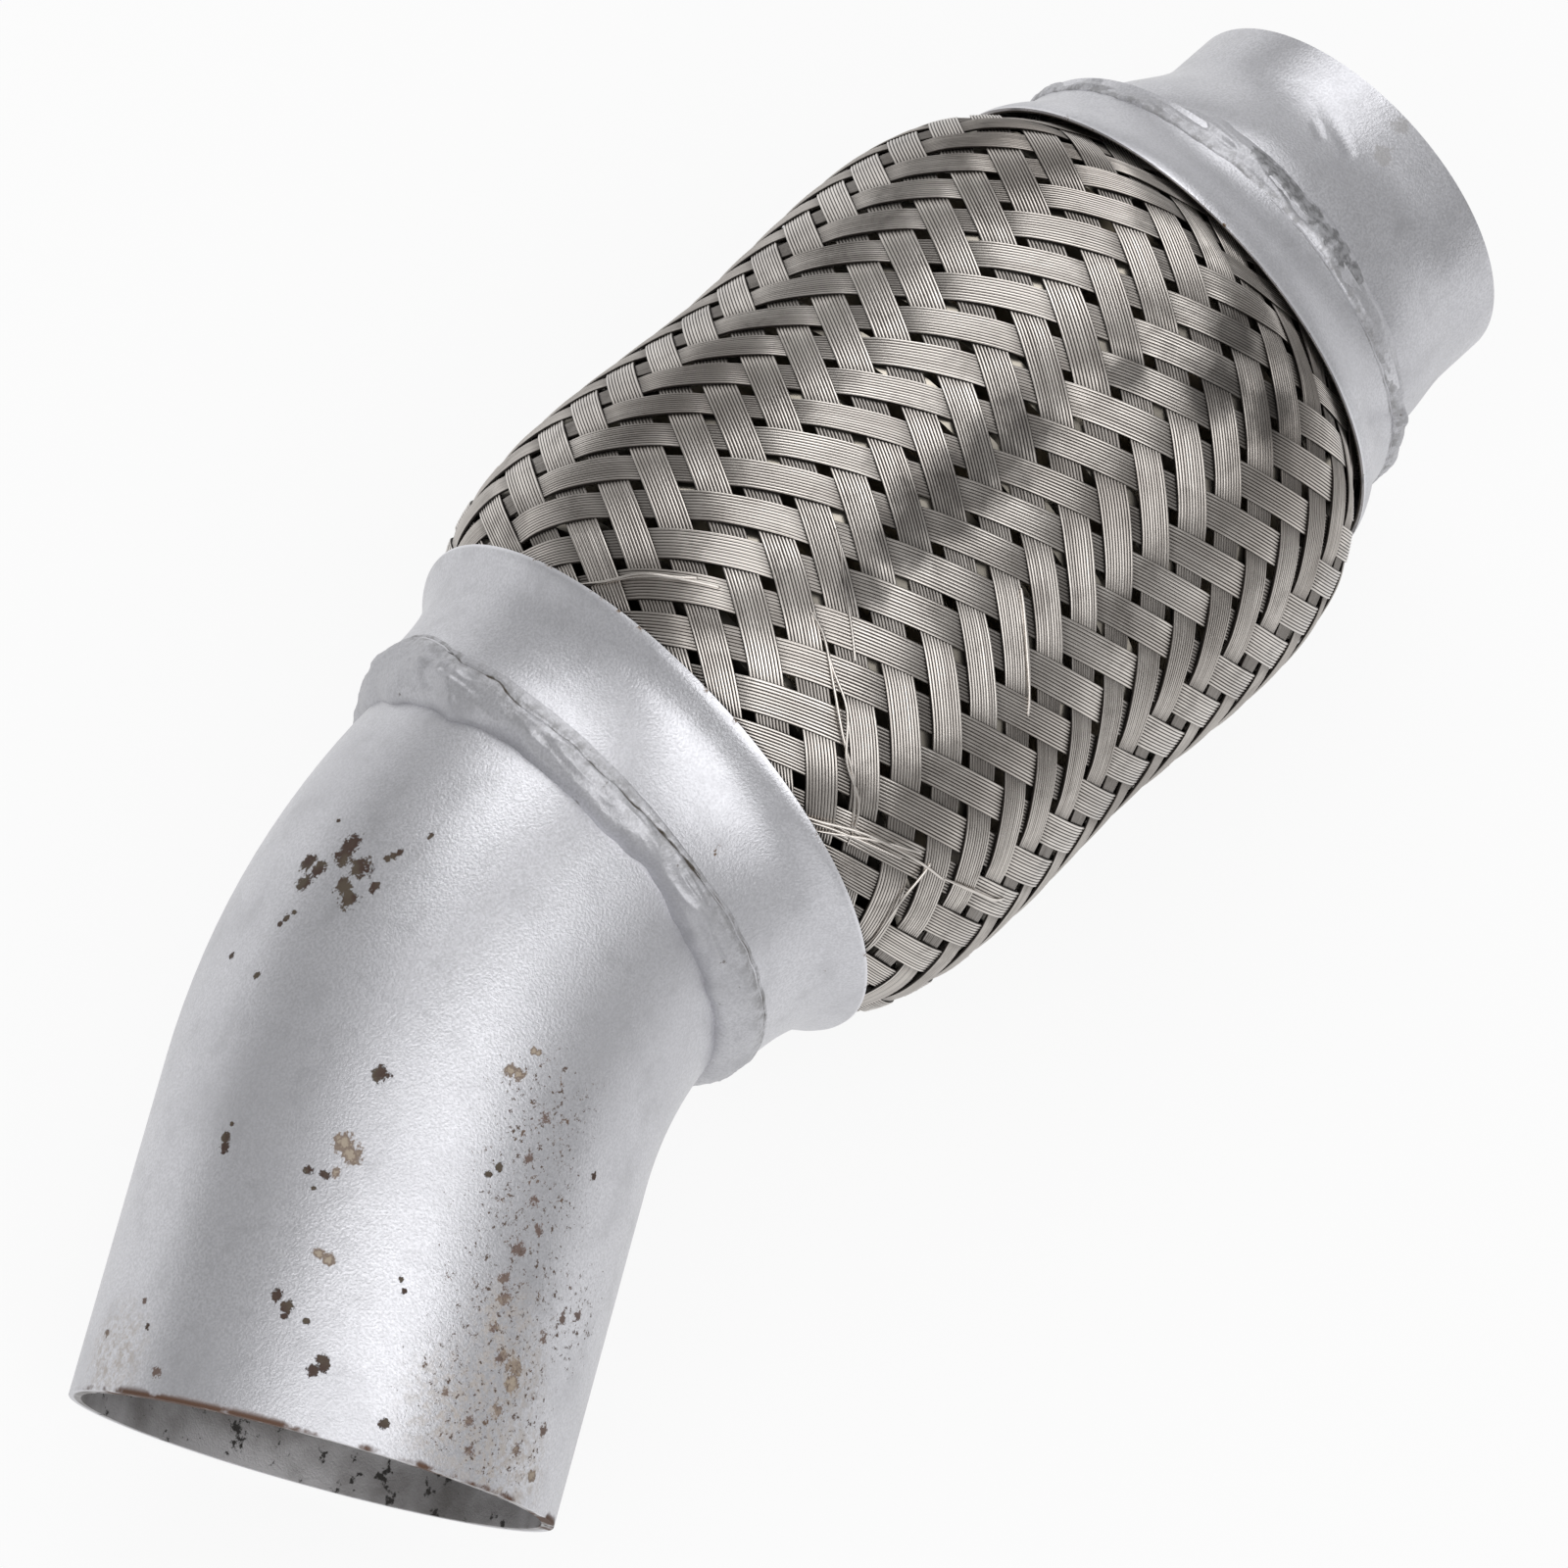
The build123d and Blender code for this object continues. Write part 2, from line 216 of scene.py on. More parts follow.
class Look:
    """A material with one main shader, and short ways to its nodes."""

    def __init__(self, name, roughness=0.5, metallic=0.0, colour=(0.5, 0.5, 0.5)):
        self.material = bpy.data.materials.new(name)
        self.material.use_nodes = True
        self.tree = self.material.node_tree
        self.shader = self.tree.nodes["Principled BSDF"]
        self.shader.inputs["Roughness"].default_value = roughness
        self.shader.inputs["Metallic"].default_value = metallic
        self.shader.inputs["Base Color"].default_value = (*colour, 1)
        self.place = self.node("ShaderNodeTexCoord").outputs["Object"]
        self.colour, self.rough, self.metal, self.normal = colour, roughness, metallic, None

    def node(self, kind, settings=(), **sockets):
        made = self.tree.nodes.new(kind)
        for key, value in dict(settings).items():
            setattr(made, key, value)
        for key, value in sockets.items():
            socket = made.inputs[key.replace("_", " ")]
            if isinstance(value, Val):
                self.tree.links.new(value.socket, socket)
            elif isinstance(value, bpy.types.NodeSocket):
                self.tree.links.new(value, socket)
            else:
                socket.default_value = value
        return made

    def noise(self, scale, detail=3.0, roughness=0.55):
        """Noise with about `scale` features to a metre, from 0 to 1."""
        kind = "ShaderNodeTexNoise"
        made = self.node(kind, Vector=self.place, Scale=scale, Detail=detail, Roughness=roughness)
        return Val(self.tree, made.outputs["Fac"])

    def attribute(self, name):
        made = self.node("ShaderNodeAttribute", {"attribute_name": name})
        return Val(self.tree, made.outputs["Fac"])

    def vector(self, operation, second):
        """One number from this point of the surface and a fixed vector, both in metres."""
        made = self.node("ShaderNodeVectorMath", {"operation": operation})
        self.tree.links.new(self.place, made.inputs[0])
        made.inputs[1].default_value = tuple(second)
        return Val(self.tree, made.outputs["Value"])

    def measure(self, origin, way):
        """How far along a way from an origin, and how far out from it, in millimetres."""
        ahead = self.vector("DOT_PRODUCT", way) - float(Vector(origin).dot(Vector(way)))
        whole = self.vector("DISTANCE", origin)
        beside = (whole * whole - ahead * ahead).most(0.0).power(0.5)
        return ahead * 1000.0, beside * 1000.0

    def away(self, spots):
        """Distance to the nearest of some spots, as a share of each one's reach."""
        found = None
        for spot, reach in spots:
            gap = self.vector("DISTANCE", spot) * (1000.0 / reach)
            found = gap if found is None else found.least(gap)
        return found

    def mix(self, factor, first, second):
        """The second colour over the first, by a factor."""
        made = self.tree.nodes.new("ShaderNodeMix")
        made.data_type = "RGBA"
        factor_socket, first_socket, second_socket = made.inputs[0], made.inputs[6], made.inputs[7]
        for socket, value in ((factor_socket, factor), (first_socket, first), (second_socket, second)):
            if isinstance(value, Val):
                self.tree.links.new(value.socket, socket)
            elif isinstance(value, bpy.types.NodeSocket):
                self.tree.links.new(value, socket)
            else:
                socket.default_value = value if isinstance(value, float) else (*value, 1)
        return made.outputs[2]

    def coat(self, mask, colour, roughness=None, metallic=None):
        """Lay a colour over what is there so far, where the mask is 1."""
        self.colour = self.mix(mask, self.colour, colour)
        if roughness is not None:
            self.rough = self.rough + mask * (roughness - self.rough)
        if metallic is not None:
            self.metal = self.metal + mask * (metallic - self.metal)

    def bump(self, height, distance):
        """Raise the surface by a height, on top of the bumps before it."""
        before = {} if self.normal is None else {"Normal": self.normal}
        made = self.node("ShaderNodeBump", Height=height, Strength=1.0, Distance=distance * MM, **before)
        self.normal = made.outputs["Normal"]

    def done(self):
        """Feed the finished colour, roughness, metal and normal to the shader."""
        finished = {
            "Base Color": self.colour,
            "Roughness": self.rough,
            "Metallic": self.metal,
            "Normal": self.normal,
        }
        for name, value in finished.items():
            if isinstance(value, Val):
                value = value.socket
            if isinstance(value, bpy.types.NodeSocket):
                self.tree.links.new(value, self.shader.inputs[name])
        print(self.material.name, "has", len(self.tree.nodes), "nodes")


def dress(piece, look):
    piece.data.materials.clear()
    piece.data.materials.append(look.material)


# %% [markdown]
# ## Paint
#
# The tubes and caps carry one thin coat of silver heat paint: satin, fine
# grained and a little cloudy. It is part metal flake and part binder, so the
# shader is only partly metallic. Four noises of different scale vary it: clouds
# of some centimetres, smears, dark flecks, and the grain of the flakes.

# %% Silver paint
CLOUDS, SMEARS, FLECKS, FLAKES = 42, 160, 900, 2900


def silver(tone):
    """A grey with the faint blue of aluminium flakes."""
    return (tone * 0.985, tone * 0.985, tone * 1.035)


def paint(name, tone):
    look = Look(name, roughness=0.4, metallic=0.7)
    cloud = look.noise(CLOUDS, 4)
    grain = look.noise(FLAKES, 2)
    smear = look.noise(SMEARS, 5, 0.7)
    look.colour = look.mix(grain.ramp(0.3, 0.7), silver(tone * 0.88), silver(tone * 1.1))
    look.colour = look.mix(cloud.ramp(0.4, 0.7, 0.0, 0.5), look.colour, silver(tone * 0.85))
    look.coat(look.noise(FLECKS, 5, 0.75).ramp(0.69, 0.74) * 0.5, silver(tone * 0.5), 0.6)
    look.coat(smear.ramp(0.48, 0.72, 0.0, 0.5), silver(tone * 0.74))
    look.rough = cloud.ramp(0.3, 0.7, 0.33, 0.41)
    look.bump(grain, 0.05)
    return look


tube_look = paint("tube_paint", 0.65)
cap_look = paint("cap_paint", 0.65)
stub_look = paint("stub_paint", 0.62)
weld_look = paint("weld_paint", 0.56)
print("paints", [look.material.name for look in (tube_look, cap_look, stub_look, weld_look)])

# %% [markdown]
# Chips come from stones and knocks. Each is named by its place on the bent tube
# and its reach, and a ragged noise breaks its outline. The shallow ones show a
# beige primer with a brown rim, the deep ones olive-brown steel.

# %% Places of the chips
DEEP_CHIPS = (
    (66.0, 31.9, 1.7), (64.9, 32.1, 1.7), (64.2, 37.8, 1.7), (63.3, 22.7, 1.4), (61.3, 24.6, 1.4),
    (63.0, 27.0, 1.3), (61.9, 36.2, 1.5), (60.9, 39.0, 1.5), (62.9, 43.7, 0.8), (66.0, 42.8, 0.6),
    (66.5, 43.8, 0.6), (67.0, 44.8, 0.6), (56.9, 23.6, 0.5), (57.6, 25.0, 0.6), (58.3, 26.4, 0.5),
    (68.0, 24.0, 0.5), (69.9, 49.1, 0.5), (51.8, 23.3, 0.6), (53.4, 10.6, 0.6), (45.0, 62.2, 1.1),
    (33.5, 29.4, 0.8), (32.3, 29.7, 0.8), (35.2, 30.1, 0.4), (41.6, 120.7, 0.5), (15.4, 53.4, 0.9),
    (14.3, 56.3, 0.9), (13.2, 56.2, 0.5), (13.2, 61.4, 0.5), (21.3, 79.2, 0.4), (3.7, 84.1, 0.7),
    (31.5, 52.4, 0.7), (31.4, 56.4, 0.7), (29.4, 54.7, 0.4), (9.1, 67.3, 0.9), (8.3, 67.6, 0.8),
    (7.5, 65.9, 0.8), (38.2, 94.0, 0.6), (37.0, 92.0, 0.5), (8.6, 22.0, 0.5), (20.0, 80.5, 0.4),
)
SHALLOW_CHIPS = (
    (35.6, 58.8, 1.5), (34.5, 61.0, 1.4), (31.9, 58.8, 0.7), (50.0, 90.0, 0.9), (50.0, 92.4, 0.9),
    (53.7, 93.6, 0.5), (53.7, 95.0, 0.5), (21.7, 60.0, 0.8), (21.3, 62.5, 0.8), (15.5, 112.2, 1.3),
    (13.5, 112.8, 1.2), (4.0, 128.4, 1.0),
)


def from_tube_spots(spots):
    """How far each point is from the nearest spot, as a share of the spot's reach."""
    return tube_look.away([(on_tube(back, angle), reach) for back, angle, reach in spots])


print("chips", len(DEEP_CHIPS), len(SHALLOW_CHIPS))

# %% [markdown]
# A real chip has no smooth edge. Two noises are added to the distance before it
# becomes a mask, one that bends the outline and a finer one that frays it.

# %% Shallow chips
CHIP_RIM = (0.17, 0.115, 0.075)
PRIMER = (0.37, 0.31, 0.245)
ragged = (tube_look.noise(740, 5, 0.68) - 0.5) * 3.3
frayed = (tube_look.noise(1700, 5, 0.75) - 0.5) * 4.5
shallow = from_tube_spots(SHALLOW_CHIPS) + ragged * 0.6 + frayed * 0.5
tube_look.coat(shallow.ramp(0.8, 1.05, 0.9, 0.0), CHIP_RIM, 0.7, 0.0)
tube_look.coat(shallow.ramp(0.3, 0.6, 1.0, 0.0), PRIMER, 0.75, 0.0)

# %% [markdown]
# Towards the mouth the paint is thin. Rust has come through it in a row of
# spots, with beige dust and fine brown speckles around them.

# %% Rust and dust on the bent tube
RUST = (0.1, 0.05, 0.03)
DUST = (0.42, 0.35, 0.28)
RUST_SPOTS = (
    (11.7, 18.0, 0.6), (46.2, 101.7, 0.9), (40.5, 100.6, 0.8), (35.8, 104.9, 0.9), (32.6, 108.4, 0.8),
    (29.4, 104.6, 1.1), (25.3, 102.9, 0.9), (23.0, 104.3, 1.0), (19.2, 103.8, 0.8), (16.1, 107.8, 1.1),
    (9.6, 110.8, 1.0), (7.3, 104.1, 0.9), (3.9, 106.3, 0.9), (9.8, 96.1, 0.7), (20.3, 118.8, 0.9),
    (23.6, 123.8, 0.9), (24.7, 129.5, 0.9), (9.7, 128.3, 0.9), (6.0, 120.0, 0.9), (7.3, 6.1, 0.7),
    (3.2, 28.8, 0.8),
)
DUSTY = ((8, 104, 13), (14, 110, 11), (20, 106, 8), (3, 118, 12), (5, 12, 9))
SPECKLED = ((46, 101, 13), (36, 104, 15), (25, 108, 17), (14, 108, 18), (6, 112, 17), (24, 128, 12))

rusty = from_tube_spots(RUST_SPOTS) + ragged * 0.5 + frayed * 0.9
tube_look.coat(rusty.ramp(0.6, 1.0, 0.9, 0.0), RUST, 0.75, 0.0)
field = from_tube_spots(SPECKLED).ramp(0.3, 1.0, 1.0, 0.0)
dusty = from_tube_spots(DUSTY).ramp(0.2, 1.0, 1.0, 0.0)
tube_look.coat(dusty * tube_look.noise(800, 5, 0.75).ramp(0.42, 0.62) * 0.55, DUST, 0.65, 0.2)
fine_speckles = (tube_look.noise(1250, 5, 0.75) + field * 0.1).ramp(0.67, 0.72)
tube_look.coat(fine_speckles * field.ramp(0.0, 0.3), (0.09, 0.06, 0.045), 0.7, 0.0)
coarse_speckles = (tube_look.noise(480, 5, 0.8) + field * 0.075).ramp(0.68, 0.73)
tube_look.coat(coarse_speckles * field.ramp(0.1, 0.6), (0.13, 0.085, 0.06), 0.7, 0.0)
print("rust spots", len(RUST_SPOTS))

# %% [markdown]
# The deep chips come last, because they go through everything else. Their floor
# lies a little below the paint, which a Bump node shows.

# %% Deep chips
OLIVE_STEEL = (0.085, 0.065, 0.045)
BROWN_STEEL = (0.055, 0.03, 0.022)
deep = from_tube_spots(DEEP_CHIPS) + ragged * 0.55 + frayed * 0.55
deep = deep.ramp(0.75, 0.95, 1.0, 0.0)
chip_floor = tube_look.mix(tube_look.noise(300, 3).ramp(0.4, 0.6), OLIVE_STEEL, BROWN_STEEL)
tube_look.coat(deep, chip_floor, 0.65, 0.1)
tube_look.bump(deep * -1.0, 0.08)

# %% [markdown]
# The bore is not painted. It shows dull grey steel, cloudy with soot, with dark
# specks. The upper part of the cut rim has rusted. Which points are in the bore
# follows from their distance to the tube's middle line: first the straight run,
# then the bend's circle.

# %% Bore and rim
BORE_WALL = (30.9, 31.2)
RIM_DEPTH = (0.25, 1.3)
from_mouth, from_run = tube_look.measure(from_pipe(mouth), turned @ Vector(-run_way))
above, from_centre = tube_look.measure(from_pipe((BEND_START, -BEND_RADIUS, 0)), out)
from_bend = ((from_centre - BEND_RADIUS) * (from_centre - BEND_RADIUS) + above * above).power(0.5)
in_run = from_mouth.ramp(RUN - 0.1, RUN + 0.1, 1.0, 0.0)
run_bore = from_run.ramp(*BORE_WALL, 1.0, 0.0) * in_run
in_bore = run_bore + from_bend.ramp(*BORE_WALL, 1.0, 0.0) * (1.0 - in_run)
sooty = tube_look.noise(70, 4).ramp(0.4, 0.7)
tube_look.coat(in_bore, tube_look.mix(sooty, (0.48, 0.47, 0.48), (0.2, 0.19, 0.185)), 0.55, 0.5)
tube_look.coat(in_bore * tube_look.noise(360, 4, 0.7).ramp(0.59, 0.66), (0.025, 0.022, 0.02), 0.7, 0.0)
rim = from_mouth.ramp(*RIM_DEPTH, 1.0, 0.0)
broken = tube_look.noise(260, 4) * 0.6 + tube_look.noise(35, 2) * 0.5 + rim * 0.1
tube_look.coat(rim * above.ramp(-4, 6) * broken.ramp(0.6, 0.7), RUST, 0.75, 0.0)
tube_look.done()

# %% [markdown]
# Inside the flared lips the paint did not reach: there the sheet is dark brown.
# The lip's thin outer edge is painted paler, a painted highlight, and has brown specks where it has rusted.
# How wide the lip's inner face is at each depth behind its edge is written as a
# short formula, with its own numbers for the inlet's half and the outlet's.

# %% Caps
LIP_X = 49.25
OUTLET_WIDTH, INLET_WIDTH = 38.1, 39.85
OUTLET_SLOPE, INLET_SLOPE, CURVE = 0.15, 0.7, 0.11

ahead, wide = cap_look.measure(middle, along)
inlet_half = ahead.ramp(-1.0, 1.0, 1.0, 0.0)
depth = ahead * (1.0 - 2.0 * inlet_half) - LIP_X
slope = OUTLET_SLOPE + inlet_half * (INLET_SLOPE - OUTLET_SLOPE)
fall = OUTLET_WIDTH + inlet_half * (INLET_WIDTH - OUTLET_WIDTH) - depth * slope - depth * depth * CURVE
inner_face = (wide - fall).ramp(-0.1, 0.1, 1.0, 0.0) * depth.ramp(2.6, 3.2, 1.0, 0.0)
cap_look.coat(inner_face, (0.045, 0.036, 0.028), 0.6, 0.2)
# painted highlight: a thin band at the lip's edge is painted paler and glossier; brown rust specks lie in the
# same band
edge = depth.ramp(0.1, 0.6, 1.0, 0.0) * (1.0 - inner_face)
cap_look.coat(edge * 0.7, silver(0.85), 0.3)
speck = cap_look.noise(420, 4, 0.7)
cap_look.coat(edge * speck.ramp(0.6, 0.66), (0.15, 0.1, 0.06), 0.65, 0.1)
cap_look.coat(cap_look.noise(300, 4, 0.7).ramp(0.73, 0.76), (0.16, 0.11, 0.08), 0.65, 0.1)
cap_look.done()

# %% [markdown]
# The stub was pressed to its smaller end in a die, which left a soft crease, a
# faint second line and a few rough patches in the paint; the creases also get painted shade.

# %% Stub
NECKING_START = 64.25
NECKING_LENGTH = 14.7
STUB_END_RADIUS = 27.8
STUB_NECKING = 3.2
CREASES = (
    (
        (79.1, 49, 1.0), (79.8, 51.5, 1.1), (80.1, 54, 1.1), (79.8, 58, 1.1), (79.1, 62, 1.2),
        (78.3, 66, 1.2), (77.4, 70, 1.2), (76.6, 74, 1.1), (75.7, 78, 1.0),
    ),
    ((75.7, 65, 0.9), (75.0, 67, 0.9), (74.4, 69, 0.8)),
)
PATCHES = ((84.5, 81.5, 1.7), (79.3, 84, 1.6), (85.5, 110, 1.6), (71.0, 44.0, 0.6), (74.0, 45.0, 0.5))


def stub_radius(x):
    share = min(max((x - NECKING_START) / NECKING_LENGTH, 0.0), 1.0)
    return STUB_END_RADIUS + STUB_NECKING * (1 + math.cos(math.pi * share)) / 2


line = []
for places in CREASES:
    for (x, angle, reach), (next_x, next_angle, _) in zip(places, places[1:]):
        for share in (0.0, 0.33, 0.67):
            at_x, at_angle = x + share * (next_x - x), angle + share * (next_angle - angle)
            line.append((on_pipe(at_x, at_angle, stub_radius(at_x)), reach * 1.5))
crease_and_painted_shade = stub_look.away(line).ramp(0.0, 1.0, 1.0, 0.0)
# painted shade: the paint is darkened a little along the creases, beside the bump that dents them
stub_look.coat(crease_and_painted_shade * 0.2, silver(0.4))
stub_look.bump(crease_and_painted_shade * -1.0, 0.16)
patch = stub_look.away([(on_pipe(x, angle, stub_radius(x)), reach) for x, angle, reach in PATCHES])
patch = (patch + (stub_look.noise(800, 4, 0.65) - 0.5) * 3.0).ramp(0.5, 1.1, 1.0, 0.0)
stub_look.coat(patch * 0.55, (0.24, 0.23, 0.22), 0.7, 0.2)
stub_look.done()
print("crease points", len(line))

# %% [markdown]
# The bellows, the liner and the sleeves are bare stainless steel, seen only
# through the gaps of the braid and deep in the bore.

# %% Inner steel
inner_look = Look("inner_steel", roughness=0.5, metallic=0.8)
dull = inner_look.noise(90, 3).ramp(0.3, 0.7)
inner_look.colour = inner_look.mix(dull, (0.2, 0.19, 0.18), (0.12, 0.11, 0.1))
inner_look.done()
bellows_look = Look("bellows_steel", roughness=0.3, metallic=1.0)
dull = bellows_look.noise(80, 3).ramp(0.3, 0.7)
bellows_look.colour = bellows_look.mix(dull, (0.5, 0.46, 0.4), (0.36, 0.33, 0.28))
bellows_look.done()

looks = {
    "elbow_tube": tube_look,
    "outlet_stub": stub_look,
    "inlet_sleeve": inner_look,
    "outlet_sleeve": inner_look,
    "interlock_liner": inner_look,
    "bellows": bellows_look,
}
for node_name, look in looks.items():
    dress(frame["nodes"][node_name], look)
print("finishes", sorted({look.material.name for look in looks.values()}))

# %% [markdown]
# ## The weld beads
#
# Each cap is welded to its tube by a bead laid round by hand. It is a flattened,
# wavy fillet: it starts on the cap's neck, swells a little, and falls to a
# convex toe on the tube. A spun ring would be too even, so the bead is a net of
# points. Its two edges follow a few (angle, place) pairs judged from the photo,
# and they also wander a little.

# %% Edges of a bead
BEAD_ROUND = 540
BEAD_ACROSS = 30
EDGE_WANDER = 0.32
TOE_WANDER = 0.35
smoothing = np.hanning(9) / np.hanning(9).sum()


def bead_edge(pairs, seed, angles):
    """One edge of the bead, as places along the pipe at evenly spaced angles."""
    at, places = np.array(pairs, float).T
    at = np.concatenate([at - 360, at, at + 360])
    edge = np.interp(angles, at, np.tile(places, 3))
    for i, turn in enumerate(np.radians(angles)):
        edge[i] += EDGE_WANDER * noise.noise((math.cos(turn) * 14, math.sin(turn) * 14, seed * 5.0))
    return np.convolve(np.tile(edge, 3), smoothing, "same")[BEAD_ROUND : 2 * BEAD_ROUND]


# %% [markdown]
# The bead's skin has soft swellings, streaks along it and close ripples where
# the welder moved on. Single lumps and craters are named by place, reach and
# rise, such as the blob where the arc was stopped.

# %% Skin of a bead
BEAD_RADIUS = 34
RIPPLES = 132


def bead_rise(x, turn, share, lumps):
    """How far the bead's skin rises at one point, in millimetres."""
    swelling = (x * 0.30, BEAD_RADIUS * math.cos(turn) * 0.16, BEAD_RADIUS * math.sin(turn) * 0.16)
    streak = (x * 0.9, BEAD_RADIUS * math.cos(turn) * 0.17, BEAD_RADIUS * math.sin(turn) * 0.17 + 7)
    ripple = math.sin(turn * RIPPLES + 5.0 * share**2 + 3 * noise.noise(swelling))
    rise = 0.75 * noise.noise(swelling) + 0.6 * (0.25 - abs(noise.noise(streak))) + 0.025 * ripple
    for at_x, at_angle, reach, height in lumps:
        across = math.remainder(turn - math.radians(at_angle), 2 * math.pi) * BEAD_RADIUS
        gap = math.hypot(x - at_x, across) / reach
        if gap < 1:
            rise += height * (1 - gap * gap) ** 2
    return rise


# %% [markdown]
# Each row of the net runs from under the neck's end, flush along the neck to the
# bead's first edge, over the bead to the tube, and closes below. The bead sinks
# a little into both, so no gap shows. Two marks say how near a point is to the
# first edge: a narrow one for the dirt in the undercut, a wide one for rough
# metal beside it.

# %% Bead
UNDER_NECK = 0.7
FLUSH = np.linspace(0, 1, 6)[:-1]
FLUSH_RISE = 0.04
UNDERCUT = 0.22
TOE_SINK = 0.12
SUNK = 0.5
CROWN = 0.25
SEAM_WIDTH, NEAR_WIDTH = 0.4, 1.5


def bead(name, cap_edge, tube_edge, neck_end, neck_radius, tube_radius, lumps):
    way = math.copysign(1.0, neck_end)
    angles = np.arange(BEAD_ROUND) * 360.0 / BEAD_ROUND
    starts, ends = bead_edge(cap_edge, 0, angles), bead_edge(tube_edge, 1, angles)
    share = np.linspace(0, 1, BEAD_ACROSS)
    swell = [math.sin(math.pi * part) ** 0.6 for part in share]
    columns = BEAD_ACROSS + len(FLUSH) + 2
    points = np.zeros((BEAD_ROUND, columns, 3))
    seam = np.zeros((BEAD_ROUND, columns))
    near = np.zeros((BEAD_ROUND, columns))
    for i, turn in enumerate(np.radians(angles)):
        start = starts[i]
        end = ends[i] + TOE_WANDER * noise.noise((4 * math.cos(turn), 4 * math.sin(turn), 1.0))
        foot = tube_radius(end, turn)
        under = way * min(way * start, way * neck_end) - way * UNDER_NECK
        xs = start + (end - start) * share
        rs = foot + (neck_radius + 0.15 - foot) * (1 - share**2.2) ** 0.62
        for j in range(BEAD_ACROSS):
            rs[j] += (CROWN + bead_rise(xs[j], turn, share[j], lumps)) * swell[j]
        rs[0] = neck_radius - UNDERCUT
        rs[-1] = foot - TOE_SINK
        flush_x = under + (start - under) * FLUSH
        flush_r = np.full(len(FLUSH), neck_radius + FLUSH_RISE)
        flush_r[0] = neck_radius - TOE_SINK
        xs = np.concatenate([[under], flush_x, xs, [end]])
        rs = np.concatenate([[neck_radius - SUNK], flush_r, rs, [foot - SUNK]])
        points[i] = np.stack([xs, rs * math.cos(turn), rs * math.sin(turn)], -1)
        seam[i] = np.exp(-(((xs - start) / SEAM_WIDTH) ** 2)) * (1.0 if way < 0 else 0.5)
        near[i] = np.exp(-(((xs - start) / NEAR_WIDTH) ** 2))
    faces = loop_faces(BEAD_ROUND, columns, closed_rows=True)
    if way > 0:
        faces = faces[:, ::-1]
    piece = mesh_piece(name, from_pipe(points.reshape(-1, 3)), faces.tolist())
    mark(piece, "seam", seam)
    mark(piece, "near", near)
    return piece


# %% [markdown]
# The inlet's bead lands on the bent tube just where its bend begins, so the
# radius of its foot changes round the pipe. The outlet's bead lands on the stub.

# %% The two beads
def bent_tube_radius(x, turn):
    """The bent tube's outer face as seen from the flexible part's own axis."""
    lean = math.asin(max((BEND_START - x) / BEND_RADIUS, 0.0))
    shift = BEND_RADIUS * (1 - math.cos(lean))
    return TUBE_RADIUS - shift * math.cos(turn) + TUBE_RADIUS * 0.5 * (math.tan(lean) * math.cos(turn)) ** 2


INLET_NECK, OUTLET_NECK = 35.2, 34.73
inlet_bead = bead(
    "inlet_bead",
    (
        (8, -62.2), (20, -63.5), (31, -65.0), (40, -64.6), (47, -65.8), (56, -65.4), (71, -65.3), (84, -64.8),
        (97, -64.1), (111, -63.4), (127, -63.2), (146, -63.4), (180, -63.7), (230, -63.3), (280, -63.8),
        (330, -63.3),
    ),
    (
        (0, -70.3), (8, -71.4), (25, -70.6), (33, -71.0), (40, -69.8), (54, -69.4), (69, -69.4), (82, -68.9),
        (94, -67.9), (107, -68.7), (120, -68.6), (135, -69.0), (180, -69.3), (230, -69.0), (280, -69.4),
        (330, -69.8),
    ),
    -63.95,
    INLET_NECK,
    bent_tube_radius,
    (
        (-66.6, 27.6, 4.2, 1.0), (-66.6, 27.6, 1.7, -0.9), (-66.5, 18, 2.6, 0.5), (-70.3, 33, 1.6, 0.6),
        (-68.3, 84.5, 2.0, 0.6), (-67.0, 58, 2.4, -0.35), (-64.5, 132, 1.5, 0.35), (-64.5, 146, 1.6, 0.35),
    ),
)
outlet_bead = bead(
    "outlet_bead",
    (
        (22, 58.4), (39, 58.1), (51, 58.0), (66, 58.6), (78, 59.0), (91, 59.2), (103, 59.0), (120, 59.2),
        (136, 59.4), (180, 59.3), (230, 59.0), (280, 59.4), (330, 58.9),
    ),
    (
        (32, 62.6), (50, 65.0), (63, 65.1), (76, 65.0), (89, 65.8), (102, 64.3), (115, 64.8), (133, 63.9),
        (180, 64.4), (230, 64.0), (280, 64.6), (330, 63.8),
    ),
    61.45,
    OUTLET_NECK,
    lambda x, turn: stub_radius(x),
    ((63.0, 45, 2.0, 0.4), (62.0, 96, 2.0, -0.4), (63.4, 118, 2.2, 0.45), (60.6, 139, 2.2, 1.0)),
)
for piece, body, node_name in (
    (inlet_bead, "inlet_side", "elbow_weld"),
    (outlet_bead, "outlet_side", "outlet_weld"),
):
    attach(piece, body)
    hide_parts(node_name)
print("bead faces", len(inlet_bead.data.polygons), len(outlet_bead.data.polygons))

# %% [markdown]
# The bead was painted over with the rest. Dirt sits in the thin undercut beside
# the neck and runs down from it, and one stretch of the stub's bead shows dark
# grey, rough metal.

# %% Bead look
BARE = (
    (63.1, 66, 1.5), (63.0, 71, 1.6), (62.8, 76, 1.6), (62.5, 82, 1.6), (62.1, 88, 1.5), (61.7, 93, 1.5),
    (61.9, 99, 1.3),
)
dirt = weld_look.attribute("seam") + (weld_look.noise(330, 3) - 0.5) * 1.6
weld_look.coat(dirt.ramp(0.75, 1.1), (0.07, 0.055, 0.04), 0.7, 0.1)
rough_strip = weld_look.attribute("near") * weld_look.noise(650, 5, 0.7).ramp(0.42, 0.62)
weld_look.coat(rough_strip * 0.55, (0.2, 0.195, 0.19), 0.6, 0.4)
weld_look.coat(weld_look.noise(420, 4, 0.7).ramp(0.66, 0.72) * 0.7, (0.12, 0.1, 0.085), 0.7, 0.1)
